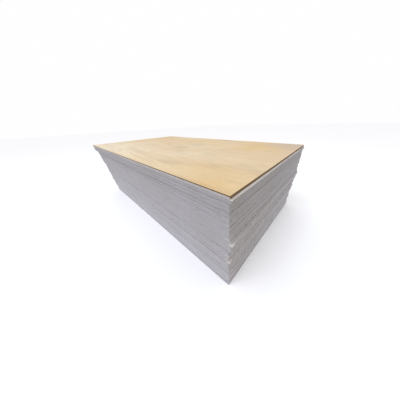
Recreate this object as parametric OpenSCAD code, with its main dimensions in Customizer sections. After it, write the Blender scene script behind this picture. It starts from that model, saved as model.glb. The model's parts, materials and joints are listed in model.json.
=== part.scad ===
// Stack of plywood sheets, lying flat on the floor.
// Millimetres. The origin is on the floor under the middle of the stack,
// +X runs across the sheets, +Y along them and +Z up.
// The stack was set down in five lifts. Each lift lies a little askew on the one below,
// and each sheet in a lift is a little out of line with its neighbours.

/* [Sheet] */
// Width of a sheet, across its face grain
sheet_w = 1220; // [600:5:1525]
// Length of a sheet, along its face grain
sheet_l = 2440; // [900:5:3050]
// Thickness of a sheet
sheet_t = 18; // [6:0.5:30]
// Largest corner knocked off a sheet, measured along its edge
corner_knock = 5; // [1:0.5:15]

/* [Lifts, from the floor up] */
// Sheets in each lift
lift_sheets = [12, 8, 5, 10, 4]; // [1:1:12]
// Sideways place of each lift
lift_x = [5, 3, 11, 7, -3]; // [-30:1:30]
// Lengthways place of each lift
lift_y = [6, 2, -7, -2, -3]; // [-30:1:30]
// Turn of each lift, in degrees
lift_turn = [-0.25, -0.5, -0.3, -0.3, 0.05]; // [-1:0.05:1]

/* [Untidiness] */
// Most that a sheet lies off the line of its lift
scatter = 2.5; // [0:0.5:12]
// Most that a sheet is turned from its lift, in degrees
scatter_turn = 0.06; // [0:0.01:0.5]
// Sheets that were pushed out at the front end, counted from the top
pushed_sheets = [2, 16, 21, 24]; // [1:1:39]
// How far those sheets were pushed out
push_out = 8; // [0:0.5:30]
// Seed of the untidiness
scatter_seed = 11; // [1:1:999]

/* [Hidden] */
function sum(list, upto = -1) =
    let (last = upto < 0 ? len(list) : upto)
    last == 0 ? 0 : list[last - 1] + (last == 1 ? 0 : sum(list, last - 1));
function two_digits(n) = str(n < 10 ? "0" : "", n);
function sheet_name(n) = str("sheet_", two_digits(n));

sheet_count = sum(lift_sheets);

// Colours of the weathered sheets, darkest to lightest, and of the clean top face
edge_greys = ["#8f8d8e", "#9c9b9d", "#a8a8ab"];
top_colour = "#e9cf9b";
// Least corner knock, as a share of the largest
knock_floor = 0.15;

// Random numbers of the whole stack: four for each sheet's place, four for its corners
knock_seed = scatter_seed + 1;
corners_each = 4;
places_each = 3;
place_draws = rands(-1, 1, sheet_count * places_each, scatter_seed);
knock_draws = rands(knock_floor, 1, sheet_count * corners_each, knock_seed);
function place_draw(n, which) = place_draws[(n - 1) * places_each + which];
function knock_draw(n, corner) = corner_knock * knock_draws[(n - 1) * corners_each + corner];

// Which lift sheet n is in, where sheet 1 lies on the floor
function lift_of(n, lift = 0) = n <= sum(lift_sheets, lift + 1) ? lift : lift_of(n, lift + 1);
function from_top(n) = sheet_count + 1 - n;
function is_pushed(n) = len(search(from_top(n), pushed_sheets)) > 0;

// A sheet's turn, and the place of its middle before the stack is centred
function turn(n) = lift_turn[lift_of(n)] + scatter_turn * place_draw(n, 2);
function middle(n) = [
    lift_x[lift_of(n)] + scatter * place_draw(n, 0),
    lift_y[lift_of(n)] + scatter * place_draw(n, 1) - (is_pushed(n) ? push_out : 0)
];

// A sheet's outline about its own middle: a rectangle with a small knock off each corner
corner_signs = [[-1, -1], [1, -1], [1, 1], [-1, 1]];
function outline(n) = [
    for (corner = [0 : corners_each - 1])
        let (
            side = corner_signs[corner],
            knock = knock_draw(n, corner),
            x = side.x * sheet_w / 2,
            y = side.y * sheet_l / 2,
            along_x = [x - side.x * knock, y],
            along_y = [x, y - side.y * knock]
        )
        each side.x * side.y > 0 ? [along_y, along_x] : [along_x, along_y]
];

// Outline points of sheet n where it lies in the stack
function laid(n) = [
    for (p = outline(n))
        middle(n) + [p.x * cos(turn(n)) - p.y * sin(turn(n)), p.x * sin(turn(n)) + p.y * cos(turn(n))]
];

// Middle of the stack's box, which is brought over the origin
all_points = [for (n = [1 : sheet_count]) each laid(n)];
all_x = [for (p = all_points) p.x];
all_y = [for (p = all_points) p.y];
stack_middle = [(min(all_x) + max(all_x)) / 2, (min(all_y) + max(all_y)) / 2];

function sheet_colour(n) = n == sheet_count ? top_colour : edge_greys[n % len(edge_greys)];

// One plywood sheet, glued up from veneers and so a single piece
module plywood_sheet(n) {
    place = middle(n) - stack_middle;
    color(sheet_colour(n))
        translate([place.x, place.y, (n - 1) * sheet_t])
            rotate([0, 0, turn(n)])
                linear_extrude(height = sheet_t)
                    polygon(outline(n));
}

for (n = [1 : sheet_count])
    plywood_sheet(n);
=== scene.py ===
"""Looks of a stack of aged plywood sheets under one clean sheet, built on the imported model.

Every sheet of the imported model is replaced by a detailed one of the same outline. A Geometry
Nodes tree raises it from that outline, wears its edges and dresses it.
"""
from __future__ import annotations

import json
import logging
import math
from dataclasses import dataclass, field
from enum import Enum
from typing import Any

import bpy
import numpy as np
from mathutils import Matrix, Vector

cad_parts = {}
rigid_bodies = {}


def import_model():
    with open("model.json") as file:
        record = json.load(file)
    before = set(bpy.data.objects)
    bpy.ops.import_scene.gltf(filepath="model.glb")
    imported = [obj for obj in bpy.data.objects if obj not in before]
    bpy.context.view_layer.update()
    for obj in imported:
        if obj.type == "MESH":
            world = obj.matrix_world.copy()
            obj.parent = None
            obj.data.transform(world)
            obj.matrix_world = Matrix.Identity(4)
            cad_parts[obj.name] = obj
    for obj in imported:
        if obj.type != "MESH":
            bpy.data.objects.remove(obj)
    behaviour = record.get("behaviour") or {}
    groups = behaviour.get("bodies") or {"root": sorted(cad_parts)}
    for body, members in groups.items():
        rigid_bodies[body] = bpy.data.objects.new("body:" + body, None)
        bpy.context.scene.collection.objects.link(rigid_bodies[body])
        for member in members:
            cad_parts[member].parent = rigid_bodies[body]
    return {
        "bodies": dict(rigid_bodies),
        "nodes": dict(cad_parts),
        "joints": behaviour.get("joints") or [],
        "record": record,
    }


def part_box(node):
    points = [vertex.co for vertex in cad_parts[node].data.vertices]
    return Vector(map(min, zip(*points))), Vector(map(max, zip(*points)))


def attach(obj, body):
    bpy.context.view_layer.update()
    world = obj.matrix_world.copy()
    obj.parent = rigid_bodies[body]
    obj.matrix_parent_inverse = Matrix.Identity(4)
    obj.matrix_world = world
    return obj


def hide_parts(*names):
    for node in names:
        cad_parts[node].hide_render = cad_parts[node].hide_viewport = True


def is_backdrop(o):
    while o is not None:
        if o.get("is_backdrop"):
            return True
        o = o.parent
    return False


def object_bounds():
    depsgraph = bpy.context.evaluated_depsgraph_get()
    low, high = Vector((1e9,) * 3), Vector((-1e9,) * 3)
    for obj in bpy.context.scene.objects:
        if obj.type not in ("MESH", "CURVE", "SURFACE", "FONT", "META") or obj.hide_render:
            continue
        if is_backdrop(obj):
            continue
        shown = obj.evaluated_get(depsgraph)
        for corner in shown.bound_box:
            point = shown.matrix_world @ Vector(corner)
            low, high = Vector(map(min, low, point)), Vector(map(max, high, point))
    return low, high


MM = 0.001
LOG = logging.getLogger("plywood_stack")

Tree = bpy.types.NodeTree
Socket = bpy.types.NodeSocket
Sockets = bpy.types.bpy_prop_collection
Span = tuple[float, float]
Place = tuple[float, float, float]

# Attributes that each sheet's points carry from its shape to its finish.
LAYER = "layer"
# Where raw wood shows: chips, crushed corners and worn tips. The tips are also a painted highlight.
BARE_AND_HIGHLIGHT = "bare_wood"
TONE = "sheet_tone"
# How dark a joint is: grime, and painted shade between the sheets.
JOINT = "joint_dirt"
CORNER = "corner_near"

# Settings that many nodes share.
COLOURS = {"data_type": "RGBA"}
EASED = {"interpolation_type": "SMOOTHSTEP"}
PLUS = {"operation": "ADD"}
MINUS = {"operation": "SUBTRACT"}
TIMES = {"operation": "MULTIPLY"}
TIMES_PLUS = {"operation": "MULTIPLY_ADD"}
MAGNITUDE = {"operation": "ABSOLUTE"}
ZIGZAG = {"operation": "PINGPONG"}
SCALED = {"operation": "SCALE"}
LARGER = {"operation": "MAXIMUM"}
ABOVE = {"operation": "GREATER_THAN"}
BELOW = {"operation": "LESS_THAN"}
POINT_VALUE = {"data_type": "FLOAT", "domain": "POINT"}

# Sockets of a colour Mix node: its share, the colour under, the colour over and the result.
SHARE, UNDER, OVER, MIXED = 0, 6, 7, 2
MIDDLE_LAYER = 0.5
LEVEL = (1.0, 1.0, 0.0)


class Slot(Enum):
    """Names of the record's material slots, which the script doesn't use."""

    WEATHERED = "weathered_plywood"
    TOP = "top_plywood"


class Face(Enum):
    """State of a sheet's faces, from the clean top one down."""

    CLEAN = "clean"
    # Painted nearly white: little weathered, and a painted highlight on its lit lip.
    PROTECTED = "protected by the top sheet"
    # Its ledge is painted light: dust, and a painted highlight of the light from above.
    LEDGE = "dusty where it sticks out"
    AGED = "weathered"


def linear(hex_code: str) -> tuple[float, float, float, float]:
    """Turn an sRGB hex colour into linear red, green, blue and alpha.

    Args:
        hex_code: Colour such as "#e9cf9b".

    Returns:
        The four linear channels, with alpha 1.
    """
    digits = hex_code.lstrip("#")
    channels = [int(digits[i : i + 2], 16) / 255 for i in (0, 2, 4)]
    r, g, b = (c / 12.92 if c <= 0.04045 else ((c + 0.055) / 1.055) ** 2.4 for c in channels)
    return r, g, b, 1.0


def add_node(
    tree: Tree,
    kind: str,
    settings: dict[str, Any] | None = None,
    links: dict[str | int, Any] | None = None,
) -> Sockets:
    """Add one node to a tree, with its settings and its inputs.

    Args:
        tree: Shader or geometry tree.
        kind: Blender's name for the node's type.
        settings: Properties of the node.
        links: Input name or number to its value, or to the socket or list of sockets that feed it.

    Returns:
        The new node's outputs.
    """
    node = tree.nodes.new(kind)
    for name, value in (settings or {}).items():
        setattr(node, name, value)
    for key, value in (links or {}).items():
        for feed in value if isinstance(value, list) else [value]:
            if isinstance(feed, Socket):
                tree.links.new(feed, node.inputs[key])
            else:
                node.inputs[key].default_value = feed
    return node.outputs


@dataclass(frozen=True)
class Pattern:
    """Noise drawn at a real size."""

    size_mm: float
    detail: float = 2.0
    roughness: float = 0.5
    bend: float = 0.0

    def over(self, place: Socket) -> dict[str | int, Any]:
        """Give a noise node's inputs.

        Args:
            place: Coordinates that the noise is drawn over.

        Returns:
            Input name to value.
        """
        return {
            "Vector": place,
            "Scale": 1 / (self.size_mm * MM),
            "Detail": self.detail,
            "Roughness": self.roughness,
            "Distortion": self.bend,
        }


@dataclass(frozen=True)
class Ramp:
    """How one measure drives another, between the two ends of each."""

    read: Span = (0.0, 1.0)
    give: Span = (0.0, 1.0)

    def of(self, value: Socket) -> dict[str | int, Any]:
        """Give a ramp node's inputs.

        Args:
            value: The measure that is read.

        Returns:
            Input name to value.
        """
        low, high = self.give
        start, end = self.read
        return {"Value": value, "From Min": start, "From Max": end, "To Min": low, "To Max": high}


def new_material(name: str) -> bpy.types.Material:
    """Make an empty node material.

    Args:
        name: Name of the real finish.

    Returns:
        The material, with no nodes in its tree.
    """
    material = bpy.data.materials.new(name)
    material.use_nodes = True
    material.node_tree.nodes.clear()
    return material


def rim_nearness(tree: Tree, layer: Socket) -> Socket:
    """Measure how far a spot lies from the middle of the sheet's thickness.

    Args:
        tree: Shader or geometry tree.
        layer: Share of the sheet's thickness, 0 below and 1 above.

    Returns:
        0 in the middle and 0.5 at either rim.
    """
    from_middle = add_node(tree, "ShaderNodeMath", MINUS, {0: layer, 1: MIDDLE_LAYER})[0]
    return add_node(tree, "ShaderNodeMath", MAGNITUDE, {0: from_middle})[0]


@dataclass(frozen=True)
class EdgeSpot:
    """What the finish of a sawn edge reads at each spot.

    The layer is the share of the sheet's thickness. The end face is 1 on the sheet's ends and
    0 on its long sides. The fibres are the object coordinates squeezed to flat strands.
    """

    place: Socket
    fibres: Socket
    layer: Socket
    end_face: Socket


@dataclass(frozen=True)
class SawnPlywoodEdge:
    """Sawn edge of poplar-core plywood that has stood outside and gone grey.

    The saw cuts across the veneers, so alternate plies show long fibres and open end grain.
    Weather and dust take the colour out, which leaves faint grey bands and a matt face.
    """

    name: str = "sawn_poplar_plywood_edge"
    long_grain: str = "#a29c98"
    end_grain: str = "#98938f"
    # Colour of the joints: grime, and painted shade between the sheets.
    joint_dirt: str = "#67615f"
    dust: str = "#aaa8ac"
    # Colour of raw wood at chips and crushed corners, and at worn tips, where it is also a painted
    # highlight.
    bare: str = "#c9c2bb"
    void: str = "#5b544f"
    roughness: float = 0.88
    refraction: float = 1.45
    gloss: float = 0.25

    # 13 plies of about 1.4 mm make 18 mm, at their real size.
    plies: int = 13
    ply_wobble: Pattern = Pattern(40.0)
    ply_wobble_share: float = 0.5
    ply_step: Ramp = Ramp((0.35, 0.65))

    # Wood fibres are about 0.03 mm thick. They are drawn as 1.4 mm strands so that they show.
    fibres: Pattern = Pattern(26.0, detail=4.0, roughness=0.6)
    fibre_thick_mm: float = 1.4
    fibre_shade: Ramp = Ramp((0.3, 0.7), (0.94, 1.04))
    sheet_shade: Ramp = Ramp(give=(0.95, 1.04))

    # Dust by place: across the stack's ends and up its height, both in metres. The extra
    # dust near the floor also paints the floor's bounce light, and the shade by height is
    # painted shade: lighter near the floor and darker towards the top.
    bands: Pattern = Pattern(260.0, detail=3.0)
    band_dust: Ramp = Ramp((0.35, 0.7), (-0.15, 0.15))
    end_dust: Ramp = Ramp((-0.61, 0.61), (0.1, 0.8))
    side_dust: float = 0.75
    splash_dust_and_bounce_light: Ramp = Ramp((0.0, 0.68), (0.25, -0.1))
    painted_height_shade: Ramp = Ramp((0.0, 0.68), (1.08, 0.83))

    rim: Ramp = Ramp((0.4, 0.5))
    voids: Pattern = Pattern(30.0, detail=0.0)
    void_edge: Ramp = Ramp((0.72, 0.76), (0.0, 0.6))

    # A panel saw's teeth mark the edge every 2 to 3 mm. It is drawn every 9 mm so that it shows.
    saw_marks: Pattern = Pattern(9.0)
    saw_mark_stretch: Place = (1.0, 1.0, 0.08)
    saw_mark_height: float = 0.6
    raised_fibres: Pattern = Pattern(13.0, detail=5.0, roughness=0.7)
    relief_mm: float = 0.6
    relief_strength: float = 0.6

    # The brown band leaves these shares of the thickness pale, on the sides and on the ends.
    # The brown is partly painted shade under the top sheet's rim, and the pale plies on the
    # ends are partly a painted highlight.
    rim_brown_and_shade: str | None = None
    pale_ply_and_highlight: str = "#cdc8c6"
    clean_depth: Ramp = Ramp(give=(0.64, 0.16))
    clean_share: Ramp = Ramp(give=(0.22, 0.95))
    brown_edge: Ramp = Ramp((-0.12, 0.04))
    brown_wander: Pattern = Pattern(18.0, detail=3.0)
    brown_wander_share: float = 0.16

    def make(self) -> bpy.types.Material:
        """Build the material.

        Returns:
            The finished material.
        """
        material = new_material(self.name)
        tree = material.node_tree
        place = add_node(tree, "ShaderNodeTexCoord")["Object"]
        squeeze = (1.0, 1.0, self.fibres.size_mm / self.fibre_thick_mm)
        strands = add_node(tree, "ShaderNodeMapping", {}, {"Vector": place, "Scale": squeeze})[0]
        layer = add_node(tree, "ShaderNodeAttribute", {"attribute_name": LAYER})["Fac"]
        normal = add_node(tree, "ShaderNodeNewGeometry")["Normal"]
        facing = add_node(tree, "ShaderNodeSeparateXYZ", {}, {0: normal})["Y"]
        end_face = add_node(tree, "ShaderNodeMath", MAGNITUDE, {0: facing})[0]
        spot = EdgeSpot(place, strands, layer, end_face)

        colour = self._plies(tree, spot)
        colour = self._dust(tree, spot, self._fibres(tree, spot, colour))
        colour = self._damage(tree, spot, colour)
        # The top sheet's edge: brown upper plies, partly painted shade, over pale lower ones, partly a
        # painted highlight.
        if self.rim_brown_and_shade:
            colour = self._brown_rim_and_shade(tree, spot, colour, self.rim_brown_and_shade)
        relief = self._relief(tree, spot)
        bump = add_node(
            tree, "ShaderNodeBump", {},
            {"Strength": self.relief_strength, "Distance": self.relief_mm * MM, "Height": relief},
        )[0]
        finish = {"Base Color": colour, "Roughness": self.roughness, "IOR": self.refraction}
        finish |= {"Specular IOR Level": self.gloss, "Normal": bump}
        surface = add_node(tree, "ShaderNodeBsdfPrincipled", {}, finish)[0]
        add_node(tree, "ShaderNodeOutputMaterial", {}, {"Surface": surface})
        return material

    def _plies(self, tree: Tree, spot: EdgeSpot) -> Socket:
        """Colour alternate plies by whether the saw met long fibres or end grain.

        Args:
            tree: Material tree.
            spot: What the finish reads.

        Returns:
            The colour socket.
        """
        count = add_node(tree, "ShaderNodeMath", TIMES, {0: spot.layer, 1: float(self.plies)})[0]
        wobble = add_node(tree, "ShaderNodeTexNoise", {}, self.ply_wobble.over(spot.place))[0]
        moved = add_node(
            tree, "ShaderNodeMath", TIMES_PLUS, {0: wobble, 1: self.ply_wobble_share, 2: count}
        )[0]
        wave = add_node(tree, "ShaderNodeMath", ZIGZAG, {0: moved, 1: 1.0})[0]
        stripe = add_node(tree, "ShaderNodeMapRange", EASED, self.ply_step.of(wave))[0]
        turned = add_node(tree, "ShaderNodeMath", MINUS, {0: stripe, 1: spot.end_face})[0]
        across = add_node(tree, "ShaderNodeMath", MAGNITUDE, {0: turned})[0]
        return add_node(
            tree, "ShaderNodeMix", COLOURS,
            {SHARE: across, UNDER: linear(self.long_grain), OVER: linear(self.end_grain)},
        )[MIXED]

    def _fibres(self, tree: Tree, spot: EdgeSpot, colour: Socket) -> Socket:
        """Shade the plies with strands of fibre, and each sheet a little unlike the next.

        Args:
            tree: Material tree.
            spot: What the finish reads.
            colour: Colour of the plies.

        Returns:
            The shaded colour socket.
        """
        tone = add_node(tree, "ShaderNodeAttribute", {"attribute_name": TONE})["Fac"]
        strands = add_node(tree, "ShaderNodeTexNoise", {}, self.fibres.over(spot.fibres))[0]
        fibre_shade, sheet_shade = (
            add_node(tree, "ShaderNodeMapRange", {}, ramp.of(value))[0]
            for ramp, value in ((self.fibre_shade, strands), (self.sheet_shade, tone))
        )
        shade = add_node(tree, "ShaderNodeMath", TIMES, {0: fibre_shade, 1: sheet_shade})[0]
        return add_node(tree, "ShaderNodeVectorMath", SCALED, {0: colour, "Scale": shade})[0]

    def _dust(self, tree: Tree, spot: EdgeSpot, colour: Socket) -> Socket:
        """Lay grey dust over the edge, thicker towards +X on the ends and near the floor, where it also
        paints bounce light, then paint shade that darkens towards the top.

        Args:
            tree: Material tree.
            spot: What the finish reads.
            colour: Colour so far.

        Returns:
            The dusty colour socket.
        """
        clouds = add_node(tree, "ShaderNodeTexNoise", {}, self.bands.over(spot.place))[0]
        axes = add_node(tree, "ShaderNodeSeparateXYZ", {}, {0: spot.place})
        patchy, on_end, splash_and_bounce_light, painted_shade = (
            add_node(tree, "ShaderNodeMapRange", {}, ramp.of(value))[0]
            for ramp, value in (
                (self.band_dust, clouds),
                (self.end_dust, axes["X"]),
                (self.splash_dust_and_bounce_light, axes["Z"]),
                (self.painted_height_shade, axes["Z"]),
            )
        )
        usual = add_node(
            tree, "ShaderNodeMapRange", {},
            {"Value": spot.end_face, "To Min": self.side_dust, "To Max": on_end},
        )[0]
        # More dust near the floor, which also paints the floor's bounce light on the lower sheets.
        settled = add_node(tree, "ShaderNodeMath", PLUS, {0: usual, 1: splash_and_bounce_light})[0]
        dusty = add_node(tree, "ShaderNodeMath", {**PLUS, "use_clamp": True}, {0: settled, 1: patchy})[0]
        colour = add_node(
            tree, "ShaderNodeMix", COLOURS, {SHARE: dusty, UNDER: colour, OVER: linear(self.dust)}
        )[MIXED]
        # Painted shade by height: the colour is scaled lighter near the floor and darker towards the top.
        return add_node(tree, "ShaderNodeVectorMath", SCALED, {0: colour, "Scale": painted_shade})[0]

    def _damage(self, tree: Tree, spot: EdgeSpot, colour: Socket) -> Socket:
        """Show joints darkened with grime and painted shade, gaps in the core, and spots of raw wood,
        which at worn tips are also a painted highlight.

        Args:
            tree: Material tree.
            spot: What the finish reads.
            colour: Colour so far.

        Returns:
            The colour socket.
        """
        gaps = add_node(tree, "ShaderNodeTexNoise", {}, self.voids.over(spot.fibres))[0]
        rim, gap = (
            add_node(tree, "ShaderNodeMapRange", EASED, ramp.of(value))[0]
            for ramp, value in (
                (self.rim, rim_nearness(tree, spot.layer)),
                (self.void_edge, gaps),
            )
        )
        dirt = add_node(tree, "ShaderNodeAttribute", {"attribute_name": JOINT})["Fac"]
        # Dark joints at the rims: grime, and painted shade where the sheets meet.
        rim_dirt_and_shade = add_node(tree, "ShaderNodeMath", TIMES, {0: rim, 1: dirt})[0]
        bare = add_node(tree, "ShaderNodeAttribute", {"attribute_name": BARE_AND_HIGHLIGHT})["Fac"]
        for share, over in ((rim_dirt_and_shade, self.joint_dirt), (gap, self.void), (bare, self.bare)):
            colour = add_node(
                tree, "ShaderNodeMix", COLOURS, {SHARE: share, UNDER: colour, OVER: linear(over)}
            )[MIXED]
        return colour

    def _brown_rim_and_shade(self, tree: Tree, spot: EdgeSpot, colour: Socket, brown_and_shade: str) -> Socket:
        """Paint the upper plies of the edge brown, partly as painted shade, and the lower ones pale, on
        the ends partly as a painted highlight.

        Args:
            tree: Material tree.
            spot: What the finish reads.
            colour: Colour so far.
            brown_and_shade: Colour of the upper plies, brown and partly painted shade.

        Returns:
            The colour socket, brown above and pale below.
        """
        depth, clean = (
            add_node(tree, "ShaderNodeMapRange", {}, ramp.of(spot.end_face))[0]
            for ramp in (self.clean_depth, self.clean_share)
        )
        ragged = add_node(tree, "ShaderNodeTexNoise", {}, self.brown_wander.over(spot.place))[0]
        reach = add_node(
            tree, "ShaderNodeMath", TIMES_PLUS, {0: ragged, 1: self.brown_wander_share, 2: depth}
        )[0]
        above = add_node(tree, "ShaderNodeMath", MINUS, {0: spot.layer, 1: reach})[0]
        browned = add_node(tree, "ShaderNodeMapRange", EASED, self.brown_edge.of(above))[0]
        for share, over in ((clean, self.pale_ply_and_highlight), (browned, brown_and_shade)):
            colour = add_node(
                tree, "ShaderNodeMix", COLOURS, {SHARE: share, UNDER: colour, OVER: linear(over)}
            )[MIXED]
        return colour

    def _relief(self, tree: Tree, spot: EdgeSpot) -> Socket:
        """Height of the raised fibres and of the saw's marks, which stand across the sheet.

        Args:
            tree: Material tree.
            spot: What the finish reads.

        Returns:
            The height socket.
        """
        fibres = add_node(tree, "ShaderNodeTexNoise", {}, self.raised_fibres.over(spot.fibres))[0]
        upright = add_node(
            tree, "ShaderNodeMapping", {}, {"Vector": spot.place, "Scale": self.saw_mark_stretch}
        )[0]
        saw = add_node(tree, "ShaderNodeTexNoise", {}, self.saw_marks.over(upright))[0]
        return add_node(
            tree, "ShaderNodeMath", TIMES_PLUS, {0: saw, 1: self.saw_mark_height, 2: fibres}
        )[0]


@dataclass(frozen=True)
class RotaryCutVeneer:
    """Face veneer peeled from the log, sanded and left bare.

    Peeling opens the growth rings into broad soft waves along the sheet, with fine darker
    pores between them. Sanding gives a low satin sheen that brightens at a flat view.
    """

    name: str = "rotary_cut_face_veneer"
    light_wood: str = "#d6c19e"
    honey_wood: str = "#cfae73"
    late_wood: str = "#bb9b6e"
    blush: str = "#cbb192"
    # Pale sapwood colour, which also paints sheen towards -X and the far end.
    sapwood_and_sheen: str = "#e0d1b2"
    mottle: str = "#b3a07c"
    faded: str | None = None
    roughness: float = 0.5
    roughness_swing: float = 0.06
    refraction: float = 1.5
    gloss: float = 0.5

    # Noise is drawn out by 14 along the grain, which runs along the sheet.
    grain_stretch: Place = (1.0, 0.07, 1.0)
    figure: Pattern = Pattern(150.0, bend=0.4)
    rings: float = 5.0
    late_ring: Ramp = Ramp((0.3, 0.5), (0.0, 0.36))
    blush_at: Ramp = Ramp((0.5, 0.7), (0.0, 0.6))

    # Slow changes over the sheet. The sapwood's and the faded corner's places are in metres.
    # The pale sapwood towards -X and the far end also paints sheen there.
    clouds: Pattern = Pattern(700.0)
    cloud_drift: Ramp = Ramp((0.3, 0.7))
    sapwood_sheen_across: Ramp = Ramp((-0.62, 0.15), (1.0, 0.0))
    sapwood_sheen_along: Ramp = Ramp((-1.3, 0.9))
    mottling: Pattern = Pattern(120.0, detail=3.0, roughness=0.6)
    mottle_stretch: Place = (1.0, 0.3, 1.0)
    mottle_edge: Ramp = Ramp((0.5, 0.72), (0.0, 0.5))
    faded_from: Span = (0.62, -1.23)
    faded_reach: Ramp = Ramp((0.0, 0.9), (0.9, 0.0))
    faded_wander: float = 0.4

    # Pores are about 0.1 mm wide. They are drawn as 5 mm streaks so that they show.
    pores: Pattern = Pattern(5.0, detail=5.0, roughness=0.65)
    pore_shade: Ramp = Ramp((0.35, 0.65), (0.9, 1.05))
    pore_depth_mm: float = 0.2
    pore_strength: float = 0.25

    def make(self) -> bpy.types.Material:
        """Build the material.

        Returns:
            The finished material.
        """
        material = new_material(self.name)
        tree = material.node_tree
        place = add_node(tree, "ShaderNodeTexCoord")["Object"]
        drawn = add_node(tree, "ShaderNodeMapping", {}, {"Vector": place, "Scale": self.grain_stretch})[0]
        colour = self._wood(tree, place, drawn)
        pores = add_node(tree, "ShaderNodeTexNoise", {}, self.pores.over(drawn))[0]
        smoothest = self.roughness - self.roughness_swing
        roughest = self.roughness + self.roughness_swing
        pore_dark, rough = (
            add_node(tree, "ShaderNodeMapRange", {}, ramp.of(pores))[0]
            for ramp in (self.pore_shade, Ramp(give=(smoothest, roughest)))
        )
        colour = add_node(tree, "ShaderNodeVectorMath", SCALED, {0: colour, "Scale": pore_dark})[0]
        bump = add_node(
            tree, "ShaderNodeBump", {},
            {"Strength": self.pore_strength, "Distance": self.pore_depth_mm * MM, "Height": pores},
        )[0]
        finish = {"Base Color": colour, "Roughness": rough, "IOR": self.refraction}
        finish |= {"Specular IOR Level": self.gloss, "Normal": bump}
        surface = add_node(tree, "ShaderNodeBsdfPrincipled", {}, finish)[0]
        add_node(tree, "ShaderNodeOutputMaterial", {}, {"Surface": surface})
        return material

    def _wood(self, tree: Tree, place: Socket, drawn: Socket) -> Socket:
        """Mix the veneer's growth-ring figure and its slow drifts of colour.

        Args:
            tree: Material tree.
            place: Object coordinates.
            drawn: The same, drawn out along the grain.

        Returns:
            The colour socket.
        """
        figure = add_node(tree, "ShaderNodeTexNoise", {}, self.figure.over(drawn))[0]
        turns = add_node(tree, "ShaderNodeMath", TIMES, {0: figure, 1: self.rings})[0]
        ring = add_node(tree, "ShaderNodeMath", ZIGZAG, {0: turns, 1: 0.5})[0]
        clouds = add_node(tree, "ShaderNodeTexNoise", {}, self.clouds.over(place))[0]
        late, blushed, drift = (
            add_node(tree, "ShaderNodeMapRange", easing, ramp.of(value))[0]
            for easing, ramp, value in (
                (EASED, self.late_ring, ring),
                ({}, self.blush_at, figure),
                ({}, self.cloud_drift, clouds),
            )
        )
        colour = add_node(
            tree, "ShaderNodeMix", COLOURS,
            {SHARE: drift, UNDER: linear(self.light_wood), OVER: linear(self.honey_wood)},
        )[MIXED]
        layers = (
            # Pale sapwood, which also paints sheen towards -X and the far end.
            (self._sapwood_and_sheen(tree, place), self.sapwood_and_sheen),
            (blushed, self.blush),
            (late, self.late_wood),
            (self._mottle(tree, place), self.mottle),
        )
        for share, over in layers:
            colour = add_node(
                tree, "ShaderNodeMix", COLOURS, {SHARE: share, UNDER: colour, OVER: linear(over)}
            )[MIXED]
        if not self.faded:
            return colour
        faded = self._fade(tree, place, drift)
        return add_node(
            tree, "ShaderNodeMix", COLOURS, {SHARE: faded, UNDER: colour, OVER: linear(self.faded)}
        )[MIXED]

    def _sapwood_and_sheen(self, tree: Tree, place: Socket) -> Socket:
        """Find the pale side of the veneer, peeled from the log's outer wood, which also paints sheen
        towards -X and the far end.

        Args:
            tree: Material tree.
            place: Object coordinates.

        Returns:
            The share of sapwood.
        """
        axes = add_node(tree, "ShaderNodeSeparateXYZ", {}, {0: place})
        across, along = (
            add_node(tree, "ShaderNodeMapRange", EASED, ramp.of(axes[axis]))[0]
            for axis, ramp in (("X", self.sapwood_sheen_across), ("Y", self.sapwood_sheen_along))
        )
        return add_node(tree, "ShaderNodeMath", TIMES, {0: across, 1: along})[0]

    def _mottle(self, tree: Tree, place: Socket) -> Socket:
        """Find the soft darker patches of the veneer, drawn out along the grain.

        Args:
            tree: Material tree.
            place: Object coordinates.

        Returns:
            The share of the patches' colour.
        """
        drawn = add_node(tree, "ShaderNodeMapping", {}, {"Vector": place, "Scale": self.mottle_stretch})[0]
        patches = add_node(tree, "ShaderNodeTexNoise", {}, self.mottling.over(drawn))[0]
        return add_node(tree, "ShaderNodeMapRange", EASED, self.mottle_edge.of(patches))[0]

    def _fade(self, tree: Tree, place: Socket, drift: Socket) -> Socket:
        """Find where weather reached in from one corner and greyed the veneer.

        Args:
            tree: Material tree.
            place: Object coordinates.
            drift: Slow noise that breaks up the edge of the grey.

        Returns:
            The share of the faded colour.
        """
        level = add_node(tree, "ShaderNodeVectorMath", TIMES, {0: place, 1: LEVEL})[0]
        gap = add_node(
            tree, "ShaderNodeVectorMath", {"operation": "DISTANCE"}, {0: level, 1: (*self.faded_from, 0.0)}
        )["Value"]
        reach = add_node(tree, "ShaderNodeMath", TIMES_PLUS, {0: drift, 1: self.faded_wander, 2: gap})[0]
        return add_node(tree, "ShaderNodeMapRange", EASED, self.faded_reach.of(reach))[0]


@dataclass(frozen=True)
class StudioFloorPaint:
    """Plain matt emulsion on the studio floor, which throws soft light back up."""

    name: str = "matt_white_floor_paint"
    colour: str = "#fbfbfb"
    roughness: float = 0.9

    def make(self) -> bpy.types.Material:
        """Build the material.

        Returns:
            The finished material.
        """
        material = new_material(self.name)
        tree = material.node_tree
        finish = {"Base Color": linear(self.colour), "Roughness": self.roughness}
        surface = add_node(tree, "ShaderNodeBsdfPrincipled", {}, finish)[0]
        add_node(tree, "ShaderNodeOutputMaterial", {}, {"Surface": surface})
        return material


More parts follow.
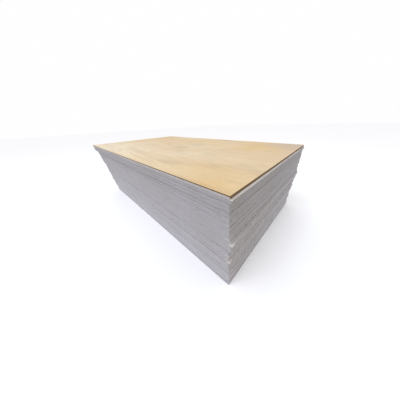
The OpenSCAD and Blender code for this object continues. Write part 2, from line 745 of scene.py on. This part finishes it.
@dataclass
class SheetRaiser:
    """Geometry Nodes tree that raises one worn plywood sheet from its flat outline."""

    thickness: float
    layer_shares: tuple[float, ...] = (0.12, 0.38, 0.38, 0.12)

    # Wear of the sides: long waves, small nibbles, chips at the rims and crushed corners.
    rim: Ramp = Ramp((0.35, 0.5))
    wave: Pattern = Pattern(420.0, detail=1.0)
    wave_depth: Ramp = Ramp((0.3, 0.7), (0.0, 0.8 * MM))
    nibble: Pattern = Pattern(16.0)
    nibble_depth: Ramp = Ramp((0.35, 0.75), (0.0, 0.7 * MM))
    chip: Pattern = Pattern(34.0, detail=1.0)
    chip_edge: Ramp = Ramp((0.7, 0.8))
    chip_mm: float = 4.0
    crush: Pattern = Pattern(68.0, detail=0.0)
    crush_edge: Ramp = Ramp((0.45, 0.65))
    crush_mm: float = 5.0
    gape: Pattern = Pattern(210.0, detail=0.0)
    # Worn tips are raw wood that is also a painted highlight. They begin at this nearness to a corner.
    tip_from: float = 0.45
    inset_share: float = 0.985
    weld_mm: float = 0.01

    # Slopes that tell faces from sides, and the angle from which a rim stays crisp.
    face_slope: float = 0.5
    side_slope: float = 0.3
    edge_slope: float = 0.7
    crease_deg: float = 32.0
    tree: Tree = field(init=False)

    def __post_init__(self) -> None:
        """Build the tree once, for every sheet to share."""
        self.tree = bpy.data.node_groups.new("raise_plywood_sheet", "GeometryNodeTree")
        self.tree.is_modifier = True
        sizes = (
            "Thickness", "Chip Depth", "Crush Depth", "Tip Wear And Highlight", "Slack Below", "Slack Above",
            "Joint Below", "Joint Above", "Sheet Tone", "Seed",
        )
        sockets = [("INPUT", "Geometry", "Geometry")]
        sockets += [("INPUT", name, "Float") for name in sizes]
        sockets += [("INPUT", name, "Material") for name in ("Edge Finish", "Face Finish")]
        sockets += [("OUTPUT", "Geometry", "Geometry")]
        for way, name, kind in sockets:
            self.tree.interface.new_socket(name=name, in_out=way, socket_type=f"NodeSocket{kind}")
        given = add_node(self.tree, "NodeGroupInput")
        block = self._raise_block(given)
        worn = self._wear_edges(given, block)
        dressed = self._dress(given, worn)
        add_node(self.tree, "NodeGroupOutput", {}, {"Geometry": dressed})

    def _raise_block(self, given: Sockets) -> Socket:
        """Raise the outline in layers, close it below and inset its faces.

        Args:
            given: The tree's inputs.

        Returns:
            A closed block whose points know their share of the thickness.
        """
        tree = self.tree
        normal = add_node(tree, "GeometryNodeInputNormal")[0]
        upward = add_node(tree, "ShaderNodeSeparateXYZ", {}, {0: normal})["Z"]
        is_top = add_node(tree, "FunctionNodeCompare", ABOVE, {0: upward, 1: self.face_slope})[0]
        is_bottom = add_node(tree, "FunctionNodeCompare", BELOW, {0: upward, 1: -self.face_slope})[0]
        base = add_node(
            tree, "GeometryNodeStoreNamedAttribute", POINT_VALUE,
            {"Geometry": given["Geometry"], "Name": LAYER, "Value": 0.0},
        )[0]
        raised = base
        height = 0.0
        for share in self.layer_shares:
            height += share
            rise = add_node(tree, "ShaderNodeMath", TIMES, {0: given["Thickness"], 1: share})[0]
            offset = add_node(tree, "ShaderNodeCombineXYZ", {}, {"Z": rise})[0]
            step = add_node(
                tree, "GeometryNodeExtrudeMesh", {"mode": "FACES"},
                {"Mesh": raised, "Selection": is_top, "Offset": offset, "Individual": False},
            )
            raised = add_node(
                tree, "GeometryNodeStoreNamedAttribute", POINT_VALUE,
                {"Geometry": step["Mesh"], "Selection": step["Top"], "Name": LAYER, "Value": height},
            )[0]
        raised = self._inset(raised, is_top)
        under = add_node(tree, "GeometryNodeFlipFaces", {}, {"Mesh": base})[0]
        under = self._inset(under, is_bottom)
        joined = add_node(tree, "GeometryNodeJoinGeometry", {}, {0: [under, raised]})[0]
        return add_node(
            tree, "GeometryNodeMergeByDistance", {}, {"Geometry": joined, "Distance": self.weld_mm * MM}
        )[0]

    def _inset(self, mesh: Socket, chosen: Socket) -> Socket:
        """Ring a face with a narrow band, so that a worn rim doesn't pull on its middle.

        Args:
            mesh: Geometry to work on.
            chosen: The face.

        Returns:
            The geometry with the band.
        """
        ring = add_node(
            self.tree, "GeometryNodeExtrudeMesh", {"mode": "FACES"},
            {"Mesh": mesh, "Selection": chosen, "Offset Scale": 0.0, "Individual": False},
        )
        return add_node(
            self.tree, "GeometryNodeScaleElements", {"domain": "FACE"},
            {"Geometry": ring["Mesh"], "Selection": ring["Top"], "Scale": self.inset_share},
        )[0]

    def _noise(self, given: Sockets, pattern: Pattern) -> Socket:
        """Noise of one real size, different for each sheet's seed.

        Args:
            given: The tree's inputs.
            pattern: The noise's size and detail.

        Returns:
            The noise socket, about 0.25 to 0.75.
        """
        place = add_node(self.tree, "GeometryNodeInputPosition")[0]
        inputs = {**pattern.over(place), "W": given["Seed"]}
        return add_node(self.tree, "ShaderNodeTexNoise", {"noise_dimensions": "4D"}, inputs)[0]

    def _wear_edges(self, given: Sockets, block: Socket) -> Socket:
        """Take waviness, nibbles, chips and crushed corners off the sides, always inwards.

        Args:
            given: The tree's inputs.
            block: The closed block.

        Returns:
            The worn block, whose points know where raw wood shows, and at worn tips a painted highlight.
        """
        tree = self.tree
        layer, corner = (
            add_node(tree, "GeometryNodeInputNamedAttribute", {"data_type": "FLOAT"}, {"Name": name})[0]
            for name in (LAYER, CORNER)
        )
        at_rim, wave, nibble, soft_corner, chip = (
            add_node(tree, "ShaderNodeMapRange", easing, ramp.of(value))[0]
            for easing, ramp, value in (
                ({}, self.rim, rim_nearness(tree, layer)),
                ({}, self.wave_depth, self._noise(given, self.wave)),
                ({}, self.nibble_depth, self._noise(given, self.nibble)),
                ({}, self.crush_edge, self._noise(given, self.crush)),
                (EASED, self.chip_edge, self._noise(given, self.chip)),
            )
        )
        rim_chip, crush = (
            add_node(tree, "ShaderNodeMath", TIMES, {0: noise, 1: where})[0]
            for noise, where in ((chip, at_rim), (soft_corner, corner))
        )
        chipped, crushed = (
            add_node(tree, "ShaderNodeMath", TIMES, {0: share, 1: given[most]})[0]
            for share, most in ((rim_chip, "Chip Depth"), (crush, "Crush Depth"))
        )
        depth = wave
        for part in (nibble, chipped, crushed):
            depth = add_node(tree, "ShaderNodeMath", PLUS, {0: depth, 1: part})[0]
        inward, on_side = self._inward(depth)
        offset = add_node(tree, "ShaderNodeVectorMath", PLUS, {0: inward, 1: self._gape(given, layer)})[0]

        crush_share = add_node(
            tree, "ShaderNodeMath", {"operation": "DIVIDE"}, {0: crushed, 1: 2 * self.crush_mm * MM}
        )[0]
        # Worn tips of sheets that stick out: raw wood at their corners, also a painted highlight.
        worn_tip_highlight = add_node(
            tree, "ShaderNodeMapRange", EASED,
            {"Value": corner, "From Min": self.tip_from, "To Max": given["Tip Wear And Highlight"]},
        )[0]
        knocked_and_highlit = rim_chip
        for part in (crush_share, worn_tip_highlight):
            knocked_and_highlit = add_node(tree, "ShaderNodeMath", LARGER, {0: knocked_and_highlit, 1: part})[0]
        marked = block
        marks = (
            (BARE_AND_HIGHLIGHT, knocked_and_highlit),
            (TONE, given["Sheet Tone"]),
            (JOINT, self._below_to_above(layer, given["Joint Below"], given["Joint Above"])),
        )
        for name, value in marks:
            marked = add_node(
                tree, "GeometryNodeStoreNamedAttribute", POINT_VALUE,
                {"Geometry": marked, "Name": name, "Value": value},
            )[0]
        return add_node(
            tree, "GeometryNodeSetPosition", {},
            {"Geometry": marked, "Selection": on_side, "Offset": offset},
        )[0]

    def _gape(self, given: Sockets, layer: Socket) -> Socket:
        """Draw the rims in towards the middle of the thickness where a joint gapes.

        Args:
            given: The tree's inputs.
            layer: Share of the sheet's thickness.

        Returns:
            The upright offset.
        """
        tree = self.tree
        most_slack = self._below_to_above(layer, given["Slack Below"], given["Slack Above"])
        noise = self._noise(given, self.gape)
        slack = add_node(tree, "ShaderNodeMath", TIMES, {0: noise, 1: most_slack})[0]
        from_middle = add_node(tree, "ShaderNodeMath", MINUS, {0: layer, 1: MIDDLE_LAYER})[0]
        lift = add_node(tree, "ShaderNodeMath", TIMES, {0: from_middle, 1: -2.0})[0]
        rise = add_node(tree, "ShaderNodeMath", TIMES, {0: lift, 1: slack})[0]
        return add_node(tree, "ShaderNodeCombineXYZ", {}, {"Z": rise})[0]

    def _below_to_above(self, layer: Socket, below: Socket, above: Socket) -> Socket:
        """Go from a value at the sheet's underside to another at its top.

        Args:
            layer: Share of the sheet's thickness.
            below: Value at the underside.
            above: Value at the top.

        Returns:
            The value at each point.
        """
        ends = {"Value": layer, "To Min": below, "To Max": above}
        return add_node(self.tree, "ShaderNodeMapRange", {}, ends)[0]

    def _inward(self, depth: Socket) -> tuple[Socket, Socket]:
        """Point a depth into the sheet, level with its faces.

        Args:
            depth: How far each point goes in, in metres.

        Returns:
            The offset, and which points are on the sides.
        """
        tree = self.tree
        normal = add_node(tree, "GeometryNodeInputNormal")[0]
        level = add_node(tree, "ShaderNodeVectorMath", TIMES, {0: normal, 1: LEVEL})[0]
        length = add_node(tree, "ShaderNodeVectorMath", {"operation": "LENGTH"}, {0: level})["Value"]
        on_side = add_node(tree, "FunctionNodeCompare", ABOVE, {0: length, 1: self.side_slope})[0]
        outward = add_node(tree, "ShaderNodeVectorMath", {"operation": "NORMALIZE"}, {0: level})[0]
        back = add_node(tree, "ShaderNodeMath", TIMES, {0: depth, 1: -1.0})[0]
        inward = add_node(tree, "ShaderNodeVectorMath", SCALED, {0: outward, "Scale": back})[0]
        return inward, on_side

    def _dress(self, given: Sockets, worn: Socket) -> Socket:
        """Smooth the sides, keep the rims crisp and give sides and faces their finishes.

        Args:
            given: The tree's inputs.
            worn: The worn block.

        Returns:
            The finished sheet.
        """
        tree = self.tree
        smooth = add_node(tree, "GeometryNodeSetShadeSmooth", {"domain": "FACE"}, {"Geometry": worn})[0]
        angle = add_node(tree, "GeometryNodeInputMeshEdgeAngle")["Unsigned Angle"]
        crisp = add_node(
            tree, "FunctionNodeCompare", ABOVE, {0: angle, 1: math.radians(self.crease_deg)}
        )[0]
        creased = add_node(
            tree, "GeometryNodeSetShadeSmooth", {"domain": "EDGE"},
            {"Geometry": smooth, "Selection": crisp, "Shade Smooth": False},
        )[0]
        realized = add_node(tree, "GeometryNodeRealizeInstances", {}, {"Geometry": creased})[0]
        faced = add_node(
            tree, "GeometryNodeSetMaterial", {}, {"Geometry": realized, "Material": given["Face Finish"]}
        )[0]
        normal = add_node(tree, "GeometryNodeInputNormal")[0]
        upward = add_node(tree, "ShaderNodeSeparateXYZ", {}, {0: normal})["Z"]
        slope = add_node(tree, "ShaderNodeMath", MAGNITUDE, {0: upward})[0]
        is_side = add_node(tree, "FunctionNodeCompare", BELOW, {0: slope, 1: self.edge_slope})[0]
        return add_node(
            tree, "GeometryNodeSetMaterial", {},
            {"Geometry": faced, "Selection": is_side, "Material": given["Edge Finish"]},
        )[0]

    def raise_sheet(self, piece: bpy.types.Object, values: dict[str, Any]) -> None:
        """Run the tree on an outline and leave a plain mesh.

        Args:
            piece: Object whose mesh is the outline face.
            values: Input name to value.
        """
        modifier = piece.modifiers.new("raise", "NODES")
        modifier.node_group = self.tree
        for item in self.tree.interface.items_tree:
            if item.item_type == "SOCKET" and item.in_out == "INPUT" and item.name in values:
                modifier[item.identifier] = values[item.name]
        graph = bpy.context.evaluated_depsgraph_get()
        mesh = bpy.data.meshes.new_from_object(
            piece.evaluated_get(graph), preserve_all_data_layers=True, depsgraph=graph
        )
        piece.modifiers.clear()
        piece.data = mesh


@dataclass(frozen=True)
class Joint:
    """Joint between two sheets: how far their rims stand apart and how dark it is, with grime and painted
    shade.
    """

    slack: float
    dirt: float


@dataclass
class PlywoodSheet:
    """One glued sheet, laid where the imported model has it."""

    node: str
    source: bpy.types.Object
    step_mm: float = 8.0
    corner_reach_mm: float = 45.0
    digits: int = 2

    @property
    def points(self) -> np.ndarray:
        """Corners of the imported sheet, one row each, in metres."""
        flat = np.zeros(len(self.source.data.vertices) * 3)
        self.source.data.vertices.foreach_get("co", flat)
        return flat.reshape(-1, 3)

    @property
    def corners(self) -> np.ndarray:
        """The outline's corners in turn, seen from above and anticlockwise."""
        flat = np.unique(np.round(self.points[:, :2] / MM, self.digits), axis=0) * MM
        middle = flat.mean(axis=0)
        turn = np.arctan2(flat[:, 1] - middle[1], flat[:, 0] - middle[0])
        return flat[np.argsort(turn)]

    @property
    def front(self) -> float:
        """Where the sheet's front end lies along the stack, in metres."""
        return float(self.points[:, 1].min())

    def out_of_line(self, other: PlywoodSheet) -> float:
        """Measure how far this sheet lies off another, as a mean over their corners.

        Args:
            other: The sheet above or below.

        Returns:
            The distance in metres.
        """
        return float(np.linalg.norm(self.corners - other.corners, axis=1).mean())

    def outline(self) -> tuple[np.ndarray, np.ndarray]:
        """Walk round the sheet's outline in short steps.

        Returns:
            The points, one row each, and how near each is to a corner, from 0 to 1.
        """
        corners = self.corners
        walked = []
        for here, after in zip(corners, np.roll(corners, -1, axis=0)):
            steps = max(1, round(float(np.linalg.norm(after - here)) / (self.step_mm * MM)))
            walked.extend(here + (after - here) * k / steps for k in range(steps))
        path = np.array(walked)
        gaps = np.linalg.norm(path[:, None, :] - corners[None, :, :], axis=2).min(axis=1)
        near = np.clip(1 - gaps / (self.corner_reach_mm * MM), 0, 1)
        return path, near

    def blank(self, name: str) -> bpy.types.Object:
        """Make the flat outline face that the sheet is raised from.

        Args:
            name: Name of the piece.

        Returns:
            The object, which sits at the origin.
        """
        path, near = self.outline()
        floor = float(self.points[:, 2].min())
        mesh = bpy.data.meshes.new(name)
        mesh.from_pydata([(x, y, floor) for x, y in path], [], [list(range(len(path)))])
        mesh.attributes.new(CORNER, "FLOAT", "POINT").data.foreach_set("value", near)
        piece = bpy.data.objects.new(name, mesh)
        bpy.context.scene.collection.objects.link(piece)
        return piece


@dataclass
class PlywoodStack:
    """The whole stack: aged sheets below and one clean sheet on top."""

    frame: dict[str, Any]
    seed: int = 5
    seed_step: int = 3
    body: str = "root"
    bedded_mm: float = 4.0
    loose_mm: float = 5.0
    tight_slack_mm: float = 0.15
    loose_slack_mm: float = 1.0
    # How dark the joints are painted: grime, and painted shade between the sheets.
    tight_dirt_and_shade: float = 0.1
    loose_dirt_and_shade: float = 0.4
    dark_top_joints: int = 4
    top_dirt_and_shade: float = 0.62
    ledge_mm: float = 5.0
    # Worn tips of sheets that stick out: raw wood, also a painted highlight.
    tip_wear_highlight: float = 0.8
    least_chip: float = 0.4
    crush_rarity: int = 3

    def build(self) -> list[bpy.types.Object]:
        """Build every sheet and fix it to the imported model.

        Returns:
            The finished pieces, from the floor up.
        """
        aged_edge = SawnPlywoodEdge().make()
        # The top sheet's upper plies are brown and its lower ones pale. The brown is partly painted
        # shade under the rim, and the pale on the ends is partly a painted highlight.
        top_edge = SawnPlywoodEdge(name="top_edge_brown_and_painted_shade", rim_brown_and_shade="#6a563c").make()
        faces = self._face_finishes()
        nodes = sorted(self.frame["nodes"])
        low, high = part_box(nodes[0])
        raiser = SheetRaiser(thickness=high.z - low.z)
        draw = np.random.default_rng(self.seed)
        sheets = [PlywoodSheet(node, self.frame["nodes"][node]) for node in nodes]
        joints = self._joints(sheets)
        pieces = []
        for number, sheet in enumerate(sheets):
            state = self._state(sheets, number)
            on_top = state is Face.CLEAN
            piece = sheet.blank(f"plywood_{sheet.node}")
            below, above = joints[number], joints[number + 1]
            chip = float(draw.uniform(self.least_chip, 1.0))
            crush = float(draw.uniform(0.0, 1.0)) ** self.crush_rarity
            values = {
                "Thickness": raiser.thickness,
                "Chip Depth": raiser.chip_mm * MM * chip,
                "Crush Depth": raiser.crush_mm * MM * crush,
                # Sheets that stick out get worn tips: raw wood, also a painted highlight.
                "Tip Wear And Highlight": self.tip_wear_highlight if state is Face.LEDGE else 0.0,
                "Slack Below": below.slack,
                "Slack Above": above.slack,
                "Joint Below": below.dirt,
                "Joint Above": above.dirt,
                "Sheet Tone": float(draw.uniform(0.0, 1.0)),
                "Seed": float(number * self.seed_step),
                "Edge Finish": top_edge if on_top else aged_edge,
                "Face Finish": faces[state],
            }
            raiser.raise_sheet(piece, values)
            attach(piece, self.body)
            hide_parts(sheet.node)
            pieces.append(piece)
        return pieces

    def _face_finishes(self) -> dict[Face, bpy.types.Material]:
        """Make the veneer finish of each state of a face.

        Returns:
            State to material.
        """
        # Weather has greyed and roughened the bare veneer, so it has hardly any gloss.
        aged = RotaryCutVeneer(
            name="weathered_back_veneer", light_wood="#b7b4b5", honey_wood="#afacac",
            late_wood="#a19d9c", blush="#aca8a8", sapwood_and_sheen="#b7b4b5", mottle="#9a9695",
            roughness=0.8, gloss=0.2,
        )
        # Pale dust lies on a sheet that sticks out, and its ledge is painted light, also a painted
        # highlight of the light from above.
        ledge = RotaryCutVeneer(
            name="dusty_ledge_veneer_painted_highlight", light_wood="#cdc8c4", honey_wood="#c5bfba",
            late_wood="#b0a9a3", blush="#c1bab4", sapwood_and_sheen="#cdc8c4", mottle="#a8a09a",
            roughness=0.8, gloss=0.2,
        )
        # The top sheet kept the light off this one, so it is nearly white and hardly weathered. Its nearly
        # white lip is also a painted highlight.
        fresh_and_highlit = RotaryCutVeneer(
            name="protected_back_veneer_painted_highlight", light_wood="#e2ddd6", honey_wood="#d9d2c8",
            late_wood="#c4bab0", blush="#d8cfc6", sapwood_and_sheen="#e2ddd6", mottle="#bdb4aa",
            roughness=0.7, gloss=0.3,
        )
        # Honey veneer with its own satin sheen, greyed only at the corner that weather reached.
        clean = RotaryCutVeneer(faded="#b09c8b")
        states = (Face.AGED, aged), (Face.LEDGE, ledge), (Face.PROTECTED, fresh_and_highlit), (Face.CLEAN, clean)
        return {state: finish.make() for state, finish in states}

    def _state(self, sheets: list[PlywoodSheet], number: int) -> Face:
        """Judge the state of a sheet's faces from its place and how far it sticks out.

        Args:
            sheets: The sheets from the floor up.
            number: Place of the sheet in them.

        Returns:
            The state.
        """
        from_top = len(sheets) - 1 - number
        if from_top == 0:
            return Face.CLEAN
        if from_top == 1:
            return Face.PROTECTED
        ledge = sheets[number + 1].front - sheets[number].front
        return Face.LEDGE if ledge > self.ledge_mm * MM else Face.AGED

    def _joints(self, sheets: list[PlywoodSheet]) -> list[Joint]:
        """Settle the joints from the floor up.

        A joint is looser where its sheets lie out of line, and darker there and near the top, with grime
        and painted shade.

        Args:
            sheets: The sheets from the floor up.

        Returns:
            One joint more than there are sheets: the floor, each joint and the open top.
        """
        tight = Joint(slack=0.0, dirt=0.0)
        joints = [tight]
        for under, over in zip(sheets, sheets[1:]):
            off = over.out_of_line(under) / MM
            looseness = min(1.0, max(0.0, (off - self.bedded_mm) / self.loose_mm))
            slack = self.tight_slack_mm + (self.loose_slack_mm - self.tight_slack_mm) * looseness
            dirt = self.tight_dirt_and_shade + (self.loose_dirt_and_shade - self.tight_dirt_and_shade) * looseness
            # The top joints are painted darker: grime and painted shade.
            if len(sheets) - len(joints) <= self.dark_top_joints:
                dirt = max(dirt, self.top_dirt_and_shade)
            joints.append(Joint(slack=slack * MM, dirt=dirt))
        joints.append(tight)
        return joints


@dataclass
class StudioCamera:
    """Wide camera just over the near top corner, looking along the stack and down."""

    off_corner: Place = (-0.2806, -0.2031, 0.2156)
    azimuth_deg: float = 49.59
    down_deg: float = 33.98
    roll_deg: float = 2.34
    lens_mm: float = 10.91
    sensor_mm: float = 36.0
    shift: Span = (-0.0599, 0.0081)
    nearest: float = 0.02

    def build(self, low: Vector, high: Vector) -> None:
        """Make the camera and use it for the scene.

        Args:
            low: Lowest corner of the stack's box.
            high: Highest corner of the stack's box.
        """
        turn, down, roll = map(math.radians, (self.azimuth_deg, self.down_deg, self.roll_deg))
        ahead = Vector(
            (math.sin(turn) * math.cos(down), math.cos(turn) * math.cos(down), -math.sin(down))
        )
        level_right = ahead.cross(Vector((0, 0, 1))).normalized()
        level_down = ahead.cross(level_right)
        right = level_right * math.cos(roll) + level_down * math.sin(roll)
        up = right.cross(ahead)
        data = bpy.data.cameras.new("studio_camera")
        data.lens = self.lens_mm
        data.sensor_width = self.sensor_mm
        data.shift_x, data.shift_y = self.shift
        data.clip_start = self.nearest
        camera = bpy.data.objects.new("studio_camera", data)
        place = Vector((low.x, low.y, high.z)) + Vector(self.off_corner)
        axes = Matrix((right, up, -ahead)).transposed()
        camera.matrix_world = Matrix.Translation(place) @ axes.to_4x4()
        bpy.context.scene.collection.objects.link(camera)
        bpy.context.scene.camera = camera


@dataclass
class Studio:
    """Pale floor and soft light, with the light stronger from the long side."""

    floor_half: float = 30.0
    sky_colour: str = "#fafafc"
    sky_strength: float = 1.04
    light_colour: str = "#e9eeff"
    aim: Place = (0.0, 0.0, 0.35)
    key_power: float = 100.0
    key_size: float = 2.6
    key_place: Place = (-2.4, 0.0, 6.0)
    fill_power: float = 20.0
    fill_size: float = 3.0
    fill_place: Place = (-4.5, 0.5, 2.5)

    def build(self) -> None:
        """Lay the floor and hang the lights."""
        bpy.context.scene.view_settings.view_transform = "Standard"
        self._floor()
        self._sky()
        self._soft_box("key_soft_box", self.key_place, self.key_size, self.key_power)
        self._soft_box("fill_soft_box", self.fill_place, self.fill_size, self.fill_power)

    def _floor(self) -> None:
        """Lay a wide square floor at the level that the stack rests on."""
        half = self.floor_half
        mesh = bpy.data.meshes.new("studio_floor")
        corners = [(-half, -half, 0), (half, -half, 0), (half, half, 0), (-half, half, 0)]
        mesh.from_pydata(corners, [], [(0, 1, 2, 3)])
        mesh.materials.append(StudioFloorPaint().make())
        floor = bpy.data.objects.new("studio_floor", mesh)
        bpy.context.scene.collection.objects.link(floor)
        floor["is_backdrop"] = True

    def _sky(self) -> None:
        """Surround the studio with pale light from all sides."""
        world = bpy.data.worlds.new("studio_sky")
        world.use_nodes = True
        tree = world.node_tree
        tree.nodes.clear()
        light = {"Color": linear(self.sky_colour), "Strength": self.sky_strength}
        glow = add_node(tree, "ShaderNodeBackground", {}, light)[0]
        add_node(tree, "ShaderNodeOutputWorld", {}, {"Surface": glow})
        bpy.context.scene.world = world

    def _soft_box(self, name: str, place: Place, size: float, power: float) -> None:
        """Hang one square soft box that faces the stack.

        Args:
            name: Name of the light.
            place: Where it hangs.
            size: Length of its side, in metres.
            power: Its power in watts.
        """
        data = bpy.data.lights.new(name, "AREA")
        data.shape = "SQUARE"
        data.size = size
        data.energy = power
        data.color = linear(self.light_colour)[:3]
        light = bpy.data.objects.new(name, data)
        light.location = place
        towards = Vector(self.aim) - Vector(place)
        light.rotation_euler = towards.to_track_quat("-Z", "Y").to_euler()
        bpy.context.scene.collection.objects.link(light)


def main() -> None:
    """Build the stack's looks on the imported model."""
    logging.basicConfig(level=logging.INFO, format="%(name)s: %(message)s")
    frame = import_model()
    cad_low, cad_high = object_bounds()
    StudioCamera().build(cad_low, cad_high)
    Studio().build()
    for piece in PlywoodStack(frame).build():
        LOG.info("%s: %d faces", piece.name, len(piece.data.polygons))


if __name__ == "__main__":
    main()
